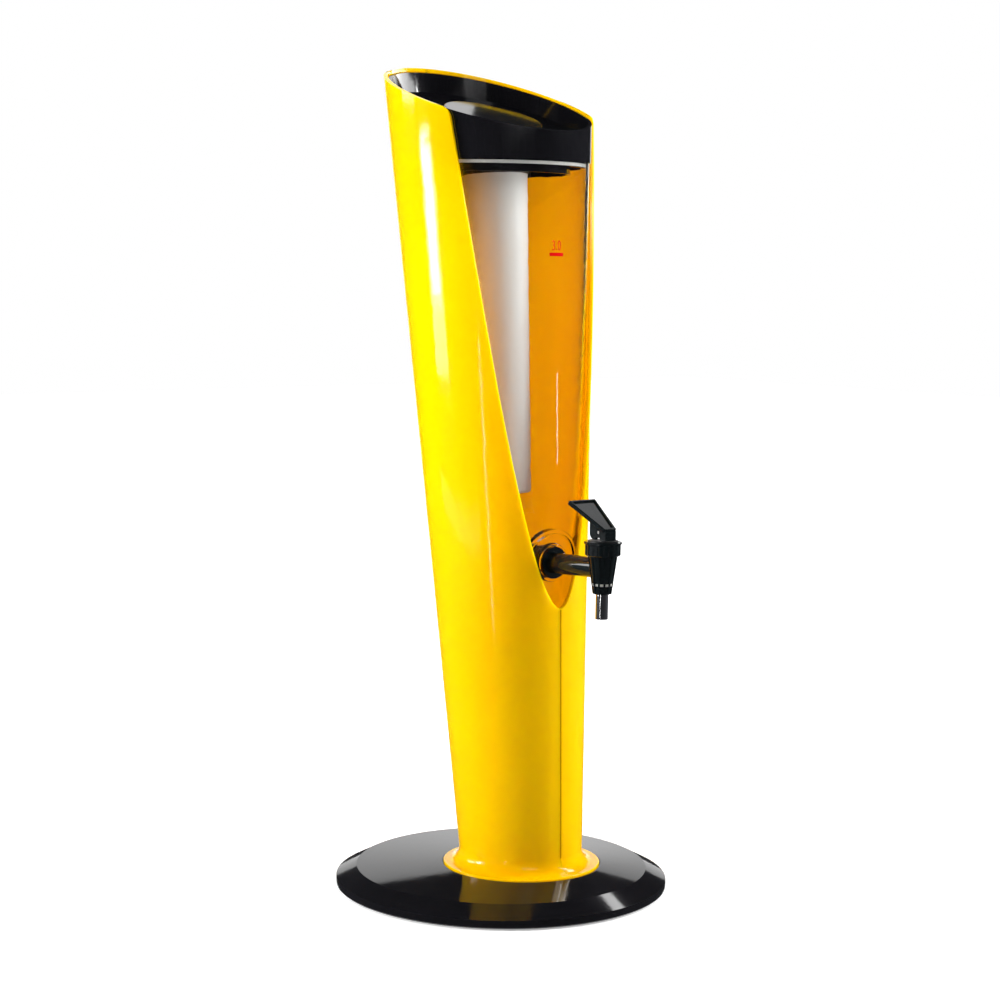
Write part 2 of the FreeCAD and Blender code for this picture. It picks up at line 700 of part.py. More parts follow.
def make_shell():
    foot = recess_floor
    ledge_low = dims.ledge_level - dims.ledge_thickness
    joint = dims.ledge_level - dims.ledge_thickness / 2
    outside = fuse("shell_outside",
                   tower_cone("shell_cone", 0, foot, joint),
                   cylinder("shell_flange", dims.flange_radius, dims.flange_thickness,
                            0, -dims.tower_offset, foot))
    flange_top = foot + dims.flange_thickness
    filleted = rounded("shell_filleted", outside, dims.flange_fillet,
                       level_circle(flange_top, 0, dims.foot_radius.value + 2))
    edged = rounded("shell_edged", filleted, dims.flange_edge_round,
                    level_circle(flange_top, dims.flange_radius.value - 0.1, dims.flange_radius.value + 0.1))
    lower_wall = cut("shell_lower_wall", edged, tower_cone("shell_hollow", dims.shell_wall, foot - 1, joint + 1))
    ledge_hole = cone_radius(dims.ledge_level) - dims.shell_wall - dims.ledge_width
    ledge = cut("shell_ledge",
                tower_cone("ledge_blank", dims.shell_wall - 0.5, ledge_low, dims.ledge_level),
                cylinder("ledge_hole", ledge_hole, dims.ledge_thickness + 2,
                         0, cone_centre(dims.ledge_level), ledge_low - 1))
    extras = [ledge]
    holes = []
    for index, angle in enumerate(POST_ANGLES):
        x, y = around(dims.shell_post_circle, angle, -dims.tower_offset)
        extras.append(cylinder("shell_post_%d" % index, dims.shell_post_radius, dims.shell_post_height, x, y, foot))
        depth = dims.large_length - dims.plate_wall + dims.pilot_spare
        holes.append(cylinder("shell_pilot_%d" % index, dims.large_screw + dims.screw_clearance, depth, x, y, foot))
        x, y = seat_screw_place(angle)
        holes.append(cylinder("ledge_pilot_%d" % index, dims.small_screw + dims.screw_clearance,
                              dims.ledge_thickness + 2, x, y, ledge_low - 1))
    for index, (side, y, level) in enumerate(dowel_places()):
        depth = dims.dowel_pad
        low_y = y - dims.shell_wall / 2 if side == "front" else y + dims.shell_wall / 2 - depth
        extras.append(box("dowel_block_%d" % index, dims.dowel_pad * 2, depth, dims.dowel_pad,
                          0, low_y, level - dims.dowel_pad / 2))
        middle = low_y + depth / 2
        holes.append(seam_dowel("dowel_hole_%d" % index, middle, level,
                                dims.dowel_radius + dims.screw_clearance, dims.dowel_length + dims.pilot_spare))
    lower = cut("shell_lower", fuse("shell_lower_parts", lower_wall, *extras), fuse("shell_holes", *holes))
    other_side = box("shell_other_side", 2 * FAR, 2 * FAR, 3 * FAR, FAR - dims.seam_gap / 2, -FAR, -1)
    below = box("shell_below_joint", 2 * FAR, 2 * FAR, joint, 0, -FAR, 0)
    top = cut("shell_top", upper_wall(other_side, joint - 5, dims.cone_top_level), below)
    left = fuse("shell_left_body", cut("shell_foot", lower, other_side), top)
    node("shell_left", left)
    right = doc.addObject("Part::Mirroring", "shell_right_body")
    right.Source = left
    right.Normal = FreeCAD.Vector(1, 0, 0)
    node("shell_right", right)


def make_shell_hardware():
    screws = []
    for index, angle in enumerate(POST_ANGLES):
        x, y = around(dims.shell_post_circle, angle, -dims.tower_offset)
        screws.append(pan_screw("shell_screw_%d" % index, x, y, recess_floor - dims.plate_wall))
    node("shell_screws", group("shell_screw_set", screws))
    pins = []
    for index, (side, y, level) in enumerate(dowel_places()):
        inward = dims.dowel_pad / 2 - dims.shell_wall / 2
        middle = y + inward if side == "front" else y - inward
        pins.append(seam_dowel("dowel_%d" % index, middle, level, dims.dowel_radius, dims.dowel_length))
    node("seam_dowels", group("dowel_set", pins))


def seat_screw_place(angle):
    circle = cone_radius(dims.ledge_level) - dims.shell_wall - dims.ledge_width / 2
    return around(circle, angle, cone_centre(dims.ledge_level))


def make_seat():
    low = dims.ledge_level
    blank = tower_cone("seat_blank", dims.shell_wall + dims.seat_clearance, low, seat_top)
    tools = [cylinder("seat_hole", dims.seat_hole_radius, dims.seat_thickness + 2, 0, cone_centre(low), low - 1)]
    screws = []
    turn_over = FreeCAD.Rotation(FreeCAD.Vector(1, 0, 0), 180)
    for index, angle in enumerate(POST_ANGLES):
        x, y = seat_screw_place(angle)
        hole = countersunk_hole("seat_bore_%d" % index, dims.seat_thickness + 1, 0, 0, 0)
        tools.append(place(hole, x, y, seat_top, turn_over))
        screw = countersunk("seat_screw_%d" % index, 0, 0, 0)
        screws.append(place(screw, x, y, seat_top, turn_over))
    node("container_seat", cut("container_seat_body", blank, fuse("seat_tools", *tools)))
    node("seat_screws", group("seat_screw_set", screws))
    middle = cone_centre(seat_top)
    node("seat_pad", cut("seat_pad_body",
                         cylinder("pad_disc", dims.pad_outer_radius, dims.pad_thickness, 0, middle, seat_top),
                         cylinder("pad_hole", dims.pad_inner_radius, dims.pad_thickness + 2,
                                  0, middle, seat_top - 1)))


TOWARDS_FRONT = FreeCAD.Rotation(FreeCAD.Vector(1, 0, 0), 90)


def front_cylinder(name, radius, back_y, front_y):
    """Cylinder on the tap's shank axis, from one Y forward to another."""
    length = as_size(back_y) - front_y
    return cylinder(name, radius, length, 0, back_y, dims.tap_level, TOWARDS_FRONT)


def arch(name, radius, low, back_y):
    """Arched block round the tap axis, from a low level up, and forward of a Y."""
    depth = FAR / 4
    legs = box(name + "_legs", as_size(radius) * 2, depth, dims.tap_level - low, 0, as_size(back_y) - depth, low)
    crown = front_cylinder(name + "_crown", radius, back_y, as_size(back_y) - depth)
    return fuse(name, legs, crown)


# The container's long walls are built in this many spans, which keeps their faces short
CONTAINER_SPANS = 4


def make_container():
    low = container_bottom
    top = dims.container_top
    wall = tower_cone("container_cone", wall_inset, low, top, CONTAINER_SPANS)
    based = rounded("container_based", wall, dims.container_base_round,
                    level_circle(low, 0, FAR))
    bead = tower_cone("container_bead", bead_inset, top - dims.bead_height, top)
    soft_bead = rounded("container_soft_bead", bead, dims.bead_round,
                        lambda edge: level_circle(top, 0, FAR)(edge)
                        or level_circle(top - dims.bead_height, 0, FAR)(edge))
    inner_cone = tower_cone("container_inner", wall_inset + dims.container_wall,
                            low + dims.container_floor, top + 1, CONTAINER_SPANS)
    inner_round = rounded("container_inner_round", inner_cone, dims.container_base_round,
                          level_circle(low + dims.container_floor, 0, FAR))
    pad_block = arch("container_pad_block", dims.tap_pad_radius + dims.container_floor, low - 1, pad_back)
    hollow = cut("container_hollow", inner_round, pad_block)
    vessel = cut("container_vessel", fuse("container_outside", based, soft_bead), hollow)
    pad_recess = arch("container_pad_recess", dims.tap_pad_radius, low - 1, pad_face)
    recessed = cut("container_recessed", vessel, pad_recess)
    boss = front_cylinder("container_boss", dims.boss_radius, pad_face + 0.5, pad_face - dims.boss_height)
    seat = front_cylinder("container_washer_seat", dims.washer_radius + dims.washer_clearance,
                          pad_face, pad_face - dims.boss_height - 1)
    hole = front_cylinder("container_tap_hole", dims.shank_radius + dims.shank_clearance,
                          pad_back + 1, pad_face - dims.boss_height - 1)
    soft_boss = rounded("container_soft_boss", boss, dims.boss_height / 3,
                        lambda edge: abs(edge.BoundBox.YMax - (pad_face - dims.boss_height).value) < 0.01)
    node("container", cut("container_body", fuse("container_with_boss", recessed, soft_boss),
                          fuse("container_holes", seat, hole)))


# Y of the stack along the shank, from outside to inside
outer_washer_front = pad_face - dims.outer_washer_thickness
collar_front = outer_washer_front - dims.collar_thickness
inner_washer_back = pad_back + dims.inner_washer_thickness
nut_back = inner_washer_back + dims.nut_thickness
shank_back = nut_back + dims.shank_end
bonnet_under = dims.bonnet_top - dims.bonnet_plate


def make_tap_body():
    flow = turned("tap_outside", [
        (0, dims.body_bottom),
        (dims.body_low_radius, dims.body_bottom),
        (dims.body_top_radius, dims.body_top),
        (dims.neck_radius, dims.body_top),
        (dims.neck_radius, dims.neck_top),
        (0, dims.neck_top)])
    place(flow, 0, tap_axis, 0)
    shank = front_cylinder("tap_shank", dims.shank_radius, shank_back, collar_front)
    arm = cone("tap_arm", dims.shank_radius, dims.shank_body_radius, collar_front + 1 - tap_axis)
    rise = FreeCAD.Rotation(FreeCAD.Vector(1, 0, 0), 90 - dims.shank_rise.value)
    place(arm, 0, collar_front + 1, dims.tap_level, rise)
    collar = front_cylinder("tap_collar", dims.washer_radius, outer_washer_front, collar_front)
    ribs = []
    drop = dims.body_top - dims.body_bottom
    slope = math.degrees(math.atan2(dims.body_top_radius.value - dims.body_low_radius.value, drop.value))
    for index in range(int(dims.body_rib_count.value)):
        angle = 360.0 / dims.body_rib_count.value * index
        rib = box("tap_rib_%d" % index, dims.body_rib_width, dims.body_rib_height * 2, drop)
        ribs.append(rib_at(rib, angle, slope))
    outside = fuse("tap_solid", flow, shank, arm, collar, *ribs)
    chamber = cylinder("tap_chamber", dims.chamber_radius, dims.neck_top - dims.chamber_floor + 1,
                       0, tap_axis, dims.chamber_floor)
    outlet = cylinder("tap_outlet", dims.spout_radius - dims.spout_wall, dims.chamber_floor,
                      0, tap_axis, dims.body_bottom - 1)
    socket_top = dims.chamber_floor - dims.outlet_land
    socket = cylinder("tap_spout_socket", dims.spout_neck_radius + dims.spout_clearance,
                      socket_top - dims.body_bottom + 1, 0, tap_axis, dims.body_bottom - 1)
    bore = front_cylinder("tap_bore", dims.shank_bore, shank_back + 1, tap_axis)
    node("tap_body", cut("tap_body_solid", outside, fuse("tap_hollows", chamber, outlet, socket, bore)))
    shoulder = dims.body_bottom - dims.spout_collar_gap
    bore_radius = dims.spout_radius - dims.spout_wall
    tube = turned("spout_tube_body", [
        (bore_radius, dims.spout_bottom),
        (dims.spout_radius, dims.spout_bottom),
        (dims.spout_radius, shoulder),
        (dims.spout_neck_radius, shoulder),
        (dims.spout_neck_radius, socket_top),
        (bore_radius, socket_top)])
    node("spout_tube", place(tube, 0, tap_axis, 0))


def rib_at(rib, angle, slope):
    """Stands a rib on the tap body's lower edge and leans it outwards along the taper."""
    turn = FreeCAD.Rotation(FreeCAD.Vector(0, 0, 1), angle + 90)
    lean = FreeCAD.Rotation(FreeCAD.Vector(1, 0, 0), slope)
    sideways = turn.multVec(FreeCAD.Vector(-0.5, 0, 0))
    x, y = around(dims.body_low_radius + dims.body_rib_height, angle)
    return place(rib, x + dims.body_rib_width * sideways.x, y + dims.body_rib_width * sideways.y + tap_axis,
                 dims.body_bottom, turn.multiply(lean))


def make_tap_fixings():
    def ring(name, radius, back_y, front_y):
        return cut(name + "_body",
                   front_cylinder(name + "_disc", radius, back_y, front_y),
                   front_cylinder(name + "_hole", dims.shank_radius + dims.thread_clearance,
                                  back_y + 1, front_y - 1))
    node("outer_washer", ring("outer_washer", dims.washer_radius - dims.washer_clearance,
                              pad_face, outer_washer_front))
    node("inner_washer", ring("inner_washer", dims.washer_radius, inner_washer_back, pad_back))
    prism = doc.addObject("Part::Prism", "nut_prism")
    prism.Polygon = 6
    bind(prism, "Circumradius", dims.nut_circumradius)
    bind(prism, "Height", dims.nut_thickness)
    place(prism, 0, nut_back, dims.tap_level, TOWARDS_FRONT)
    hole = front_cylinder("nut_hole", dims.shank_radius + dims.thread_clearance, nut_back + 1, inner_washer_back - 1)
    node("tap_nut", cut("tap_nut_body", prism, hole))


def make_bonnet():
    inner = dims.neck_radius + dims.thread_clearance
    rim_low = dims.bonnet_top - dims.bonnet_rim_height
    ring = turned("bonnet_ring", [
        (dims.stem_radius + dims.stem_clearance, bonnet_under),
        (inner, bonnet_under),
        (inner, dims.bonnet_low),
        (dims.bonnet_radius - 0.6, dims.bonnet_low),
        (dims.bonnet_radius, dims.bonnet_low + 0.6),
        (dims.bonnet_radius, rim_low),
        (dims.bonnet_rim_radius, rim_low + 0.4),
        (dims.bonnet_rim_radius, dims.bonnet_top - 0.4),
        (dims.bonnet_rim_radius - 0.6, dims.bonnet_top),
        (dims.stem_radius + dims.stem_clearance, dims.bonnet_top)])
    place(ring, 0, tap_axis, 0)
    grooves = []
    for index in range(int(dims.groove_count.value)):
        x, y = around(dims.bonnet_radius + 0.35, 360.0 / dims.groove_count.value * index, tap_axis)
        grooves.append(cylinder("bonnet_groove_%d" % index, dims.groove_radius,
                                rim_low - dims.bonnet_low + 0.8, x, y, dims.bonnet_low - 0.8))
    node("bonnet", cut("bonnet_body", ring, fuse("bonnet_grooves", *grooves)))


def make_stem():
    """Stem, valve, spring and slip washer, all on the tap's upright axis."""
    low = dims.chamber_floor + dims.cup_gap
    cup_top = low + dims.cup_height
    rod_low = low + dims.cup_skirt + 1.5
    rod = turned("stem_rod", [
        (0, rod_low),
        (dims.stem_radius, rod_low),
        (dims.stem_radius, dims.stem_top - 0.5),
        (dims.stem_radius - 0.5, dims.stem_top),
        (0, dims.stem_top)])
    place(rod, 0, tap_axis, 0)
    eye = seam_dowel("stem_eye", tap_axis, dims.pin_level, dims.pin_radius + dims.pin_clearance,
                     dims.lever_width)
    node("stem", cut("stem_body", rod, eye))
    cup = turned("seat_cup_body", [
        (0, low + dims.cup_skirt),
        (dims.cup_radius - 2, low + dims.cup_skirt),
        (dims.cup_radius - 1.2, low),
        (dims.cup_radius, low),
        (dims.cup_radius, low + 3),
        (dims.stem_radius + 1.2, cup_top),
        (dims.stem_radius, cup_top),
        (dims.stem_radius, rod_low),
        (0, rod_low)])
    node("seat_cup", place(cup, 0, tap_axis, 0))
    spring_low = cup_top + dims.spring_wire
    spring_high = bonnet_under - dims.spring_wire
    node("tap_spring", make_spring(spring_low, spring_high))
    washer = turned("slip_washer_body", [
        (dims.stem_radius + dims.stem_clearance, dims.bonnet_top),
        (dims.slip_radius, dims.bonnet_top),
        (dims.slip_radius, dims.bonnet_top + dims.slip_thickness),
        (dims.stem_radius + dims.stem_clearance, dims.bonnet_top + dims.slip_thickness)])
    node("slip_washer", place(washer, 0, tap_axis, 0))
    pin = seam_dowel("handle_pin_body", tap_axis, dims.pin_level, dims.pin_radius, dims.lever_width - 0.6)
    node("handle_pin", pin)


def make_spring(low, high):
    """Open coil of round wire: the sizes come from the sheet, the sweep is set as a shape."""
    spring = doc.addObject("Part::Feature", "tap_spring_body")
    spare = 0.3
    height = high.value - low.value - 2 * spare
    turns = dims.spring_turns.value
    helix = Part.makeHelix(height / turns, height, dims.spring_radius.value)
    start = FreeCAD.Vector(dims.spring_radius.value, 0, 0)
    section = Part.Wire(Part.Circle(start, FreeCAD.Vector(0, 1, 0), dims.spring_wire.value).toShape())
    spring.Shape = Part.Wire(helix.Edges).makePipeShell([section], True, True)
    return place(spring, 0, tap_axis, low + spare)


def make_handle():
    washer_top = dims.bonnet_top + dims.slip_thickness
    low = washer_top + dims.lever_gap
    front = tap_axis - dims.lever_front
    back = tap_axis + dims.lobe_back
    cam_y = back - dims.lobe_radius
    notch = low + dims.notch_height
    tan_paddle = Size(math.tan(math.radians(dims.paddle_angle.value)), "tan(Sizes.paddle_angle * 1deg)")
    under = dims.paddle_level - dims.paddle_thickness / 2
    cheeks = side_prism("handle_cheeks", [
        (front, low),
        (front + dims.front_leg, low),
        (front + dims.front_leg + 0.8, notch),
        (tap_axis + dims.lobe_front - 0.6, notch),
        (tap_axis + dims.lobe_front, low),
        (cam_y, low),
        (back, low + dims.lobe_radius),
        (back, under + tan_paddle * (back - front)),
        (front, under)], dims.lever_width, {5: (dims.lobe_radius, -1)})
    paddle = wedge("handle_paddle", 0, 0, 0)
    tray = wedge("handle_tray", dims.tray_rim, dims.tray_rim, dims.tray_depth)
    softened = rounded("handle_soft_paddle", paddle, Size(0.7, "0.7"), lambda edge: edge.Length > 2)
    slope = FreeCAD.Rotation(FreeCAD.Vector(1, 0, 0), dims.paddle_angle.value)
    place(softened, 0, front, dims.paddle_level, slope)
    place(tray, 0, front, dims.paddle_level, slope)
    sweep = dims.stem_radius + dims.slot_spare
    slot = side_prism("handle_slot", [
        (tap_axis - sweep, low - 1),
        (back + 1, low - 1),
        (back + 1, dims.pin_level + sweep),
        (tap_axis - dims.stem_radius, dims.pin_level + sweep),
        (tap_axis - sweep, dims.pin_level + dims.pin_radius)], dims.lever_slot)
    eye = seam_dowel("handle_eye", tap_axis, dims.pin_level, dims.pin_radius + dims.pin_clearance,
                     dims.lever_width + 2)
    solid = fuse("handle_solid", cheeks, softened)
    node("handle", cut("handle_body", solid, fuse("handle_openings", slot, eye, tray)))


def wedge(name, side_inset, end_inset, depth):
    """Paddle outline, or the smaller one of its dished face, lying flat with its top at z = 0."""
    made = doc.addObject("Part::Wedge", name)
    half_low = dims.paddle_low_width / 2 - side_inset
    half_high = dims.paddle_width / 2 - side_inset
    thickness = as_size(depth) if depth else dims.paddle_thickness
    overshoot = as_size(1 if depth else 0)
    for prop, size in (("Xmin", -half_low), ("Xmax", half_low), ("X2min", -half_high), ("X2max", half_high),
                       ("Ymin", end_inset), ("Ymax", dims.paddle_length - end_inset),
                       ("Zmin", -thickness), ("Zmax", overshoot), ("Z2min", -thickness), ("Z2max", overshoot)):
        bind(made, prop, size)
    return made


# The ice tube's axis runs along the cone's axis, and starts at the container's rim

tube_y = cone_centre(dims.container_top)
tube_z = dims.container_top
lean_cos = math.cos(math.radians(lean_angle))
lean_sin = math.sin(math.radians(lean_angle))


def on_tube_axis(thing):
    return place(thing, 0, tube_y, tube_z, lean_turn)


def tube_cylinder(name, radius, low, high):
    """Cylinder on the ice tube's leaning axis between two places along it."""
    low = as_size(low)
    length = as_size(high) - low
    return cylinder(name, radius, length, 0, tube_y + low * lean_sin, tube_z + low * lean_cos, lean_turn)


def make_lid():
    top = dims.cone_top_level
    low = dims.container_top
    ring_low = low - dims.skirt_depth
    blank = common("lid_blank", tower_cone("lid_cone", bead_inset, low, top), below_rim("lid_top", dims.lid_rim_drop))
    inner_inset = bead_inset + dims.lid_wall
    dish = common("lid_dish", tower_cone("lid_dish_cone", inner_inset, low - 1, top + 1),
                  above_rim("lid_floor_top", dims.dish_drop))
    floor_low = dims.dish_drop + dims.dish_thickness
    under = common("lid_under", tower_cone("lid_under_cone", inner_inset, low - 1, top + 1),
                   below_rim("lid_floor_low", floor_low))
    bowl = cut("lid_bowl", blank, fuse("lid_hollows", dish, under))
    lip_low = low - dims.lip_depth
    web_top = low + dims.lip_web
    lip = cut("lid_lip",
              tower_cone("lid_lip_outside", dims.lip_inset, lip_low, web_top),
              tower_cone("lid_lip_inside", dims.lip_inset + dims.lip_wall, lip_low - 1, web_top + 1))
    web = cut("lid_web",
              tower_cone("lid_web_outside", bead_inset + 1, low, web_top),
              tower_cone("lid_web_inside", dims.lip_inset + dims.lip_wall - 0.5, low - 1, web_top + 1))
    centre = cone_centre(low)
    skirt_top = dims.cone_top_level - ring_low
    skirt = cut("lid_skirt",
                cylinder("lid_skirt_outside", dims.skirt_radius, skirt_top, 0, centre, ring_low),
                cylinder("lid_skirt_inside", dims.skirt_radius - dims.skirt_wall, skirt_top + 2,
                         0, centre, ring_low - 1))
    socket = tube_cylinder("lid_socket", dims.socket_radius, dims.socket_low, FAR / 4)
    lower_parts = common("lid_lower_parts", fuse("lid_rings", skirt, socket),
                         below_rim("lid_rings_top", dims.dish_drop + 1))
    bore = tube_cylinder("lid_bore", dims.tube_radius + dims.socket_clearance, dims.socket_low - 1, FAR / 4)
    counterbore = tube_cylinder("lid_counterbore", dims.tube_flange_radius + dims.socket_clearance,
                                dims.socket_shoulder, FAR / 4)
    whole = fuse("lid_whole", bowl, lip, web, lower_parts)
    node("lid", cut("lid_body", whole, fuse("lid_bores", bore, counterbore)))
    seal_low = lip_low + 0.6
    node("lid_seal", cut("lid_seal_body",
                         tower_cone("lid_seal_outside", dims.seal_inset, seal_low, seal_low + dims.seal_height),
                         tower_cone("lid_seal_inside", dims.lip_inset, seal_low - 1,
                                    seal_low + dims.seal_height + 1)))


def make_ice_tube():
    shoulder = dims.socket_shoulder + dims.tube_seal_height
    top = shoulder + dims.tube_flange_height
    taper = dims.tube_taper_start
    bottom = dims.tube_bottom
    tube = turned("ice_tube_body", [
        (0, bottom),
        (dims.tube_low_radius - dims.tube_base_round, bottom),
        (dims.tube_low_radius, bottom + dims.tube_base_round),
        (dims.tube_radius, taper),
        (dims.tube_radius, shoulder),
        (dims.tube_flange_radius, shoulder),
        (dims.tube_flange_radius, top),
        (dims.tube_radius - dims.tube_wall, top),
        (dims.tube_radius - dims.tube_wall, taper),
        (dims.tube_low_radius - dims.tube_wall, bottom + dims.tube_floor),
        (0, bottom + dims.tube_floor)], {1: (dims.tube_base_round, -1)})
    node("ice_tube", on_tube_axis(tube))
    seal_inner = dims.tube_radius + dims.collar_clearance
    seal_low = dims.socket_shoulder + dims.tube_seal_gap
    seal = turned("tube_seal_body", [
        (seal_inner, seal_low),
        (dims.tube_flange_radius, seal_low),
        (dims.tube_flange_radius, shoulder),
        (seal_inner, shoulder)])
    node("tube_seal", on_tube_axis(seal))
    ring = turned("tube_collar_ring", [
        (seal_inner, dims.collar_low),
        (dims.collar_radius - 0.5, dims.collar_low),
        (dims.collar_radius, dims.collar_low + 0.5),
        (dims.collar_radius, dims.collar_high - 0.5),
        (dims.collar_radius - 0.5, dims.collar_high),
        (seal_inner, dims.collar_high)])
    ribs = [ring]
    for index in range(int(dims.collar_rib_count.value)):
        x, y = around(dims.collar_radius, 360.0 / dims.collar_rib_count.value * index)
        ribs.append(cylinder("collar_rib_%d" % index, dims.collar_rib_radius,
                             dims.collar_high - dims.collar_low - 1, x, y, dims.collar_low + 0.5))
    for index, angle in enumerate((dims.lug_angle.value, dims.lug_angle.value + 180)):
        x, y = around(seal_inner + dims.lug_width / 2, angle)
        ribs.append(cylinder("collar_lug_%d" % index, dims.lug_width / 2, dims.lug_depth + 1,
                             x, y, dims.collar_low - dims.lug_depth))
    node("tube_collar", on_tube_axis(fuse("tube_collar_body", *ribs)))


def make_ice_cap():
    slope = FreeCAD.Rotation(FreeCAD.Vector(1, 0, 0), dims.rim_angle.value)
    # where the tube's axis meets the dish's floor
    rise = (rim_height(tube_y, dims.dish_drop) - tube_z) / (1 - tan_rim * cone_lean)
    floor_y = tube_y + cone_lean * rise
    floor_z = tube_z + rise
    disc = cylinder("ice_cap_disc", dims.cap_radius, dims.cap_thickness)
    soft = rounded("ice_cap_soft", disc, dims.cap_round, level_circle(dims.cap_thickness, 0, FAR))
    place(soft, 0, floor_y, floor_z, slope)
    plug_radius = dims.tube_radius - dims.tube_wall - dims.plug_clearance
    plug = common("ice_cap_plug",
                  cut("ice_cap_plug_wall",
                      tube_cylinder("ice_cap_plug_outside", plug_radius, dims.plug_low, FAR / 4),
                      tube_cylinder("ice_cap_plug_inside", plug_radius - dims.plug_wall, dims.plug_low - 1, FAR / 4)),
                  below_rim("ice_cap_plug_top", dims.dish_drop - 1))
    node("ice_cap", fuse("ice_cap_body", soft, plug))
    outer = plug_radius + dims.cap_seal_proud
    seal_high = dims.cap_seal_low + dims.cap_seal_height
    node("cap_seal", cut("cap_seal_body",
                         tube_cylinder("cap_seal_outside", outer, dims.cap_seal_low, seal_high),
                         tube_cylinder("cap_seal_inside", plug_radius, dims.cap_seal_low - 1, seal_high + 1)))


def check_document():
    """Stops on any object that failed or any sub-part without a sound shape."""
    for thing in doc.Objects:
        if "Invalid" in thing.State or "Error" in thing.State:
            raise RuntimeError("failed object: %s %s" % (thing.Name, thing.State))
    for name, thing in NODES:
        if thing.Shape.isNull() or not thing.Shape.isValid() or not thing.Shape.Solids:
            raise RuntimeError("unsound shape: " + name)


make_base_plate()
make_base_cover()
make_ballast()
make_shell()
make_shell_hardware()
make_seat()
make_container()
make_tap_body()
make_tap_fixings()
make_bonnet()
make_stem()
make_handle()
make_lid()
make_ice_tube()
make_ice_cap()
doc.recompute()
check_document()
for name, thing in NODES:
    thing.Shape.exportStep("parts/%s.step" % name)
    print("%-16s solids %d  volume %.1f cm3" % (name, len(thing.Shape.Solids), thing.Shape.Volume / 1000))
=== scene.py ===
import json
import math

import bmesh
import bpy
from mathutils import Matrix, Vector


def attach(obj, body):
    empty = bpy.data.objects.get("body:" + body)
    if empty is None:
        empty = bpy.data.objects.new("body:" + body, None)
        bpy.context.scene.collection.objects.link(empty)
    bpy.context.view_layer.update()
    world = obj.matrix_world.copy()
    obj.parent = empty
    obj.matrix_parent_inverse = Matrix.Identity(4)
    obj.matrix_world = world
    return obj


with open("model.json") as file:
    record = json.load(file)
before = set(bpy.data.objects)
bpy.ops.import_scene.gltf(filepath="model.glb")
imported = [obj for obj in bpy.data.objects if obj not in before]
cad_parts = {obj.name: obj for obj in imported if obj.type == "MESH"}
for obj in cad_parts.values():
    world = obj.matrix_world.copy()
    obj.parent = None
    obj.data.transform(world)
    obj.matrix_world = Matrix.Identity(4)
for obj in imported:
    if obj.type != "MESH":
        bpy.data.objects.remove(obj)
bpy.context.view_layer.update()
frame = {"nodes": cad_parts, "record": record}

NODES = frame["nodes"]
scene = bpy.context.scene
scene.view_settings.view_transform = "Standard"

WHITE = (1, 1, 1, 1)

# All lengths are in metres. The shell's outside is a leaning cone.
CONE_LOW = 0.02           # level where the next two hold
CONE_RADIUS = 0.0463
CONE_MIDDLE = -0.0243     # Y of the cone's middle
CONE_FLARE = 0.0582258    # growth of the radius per metre of height
CONE_LEAN = 0.0851613     # shift of the middle per metre of height

# Red level mark, printed on the front of the container
CONTAINER_INSET = 0.0048  # container's outside, inside the shell's
MARK_PROUD = 0.00012
BAR_LEVELS = (0.4842, 0.4868)
BAR_ACROSS = (-0.0067, 0.0066)
BAR_STEPS = 12
NUMBER = "3.0"
NUMBER_LEVELS = (0.4885, 0.4957)
NUMBER_NARROW = 0.75

# Joint lines between the two halves of the shell, drawn as dark strips that paint the shade in
# the gap
SEAM_HALF_WIDTH = 0.0005
SEAM_PROUD = 0.00004
SEAM_STEPS = 40
SEAM_FOOT = 0.0345
SEAM_FRONT_TOP = 0.2225
SEAM_BACK_TOP = 0.61

# Floor: its glow rises between two distances from the object
FLOOR_HALF = 6.0
FLOOR_GLOW = (0.35, 0.9)
FLOOR_FADE = (0.25, 1.2)

# Dark surround, open behind the object as seen from the camera
CAMERA_BEARING = 39.6     # degrees, from the tap's side towards -X
SURROUND_STEPS = 36
SURROUND_INNER = 0.129    # just outside the base plate
SURROUND_REACH = 3.2
SURROUND_HEIGHT = 3.6
SURROUND_FLOOR = 0.001
CEILING_HOLE = 0.01
WINDOW_TOP = 1.4
WINDOW_FROM = 160         # degrees from the camera's bearing
WINDOW_ROWS = 2           # rows left open in the window, from the floor up
UNMIRRORED_DEPTH = 0.5    # a ray with less glossy depth has met no mirror

AMBIENT = 0.28
BACKGROUND = 1.0

NOISE_LOW, NOISE_HIGH = 0.3, 0.7  # the range that a noise texture mostly keeps to


def cone_radius(level):
    return CONE_RADIUS + CONE_FLARE * (level - CONE_LOW)


def cone_middle(level):
    return CONE_MIDDLE + CONE_LEAN * (level - CONE_LOW)


def add_to_scene(name, data):
    made = bpy.data.objects.new(name, data)
    scene.collection.objects.link(made)
    return made


# Procedural materials

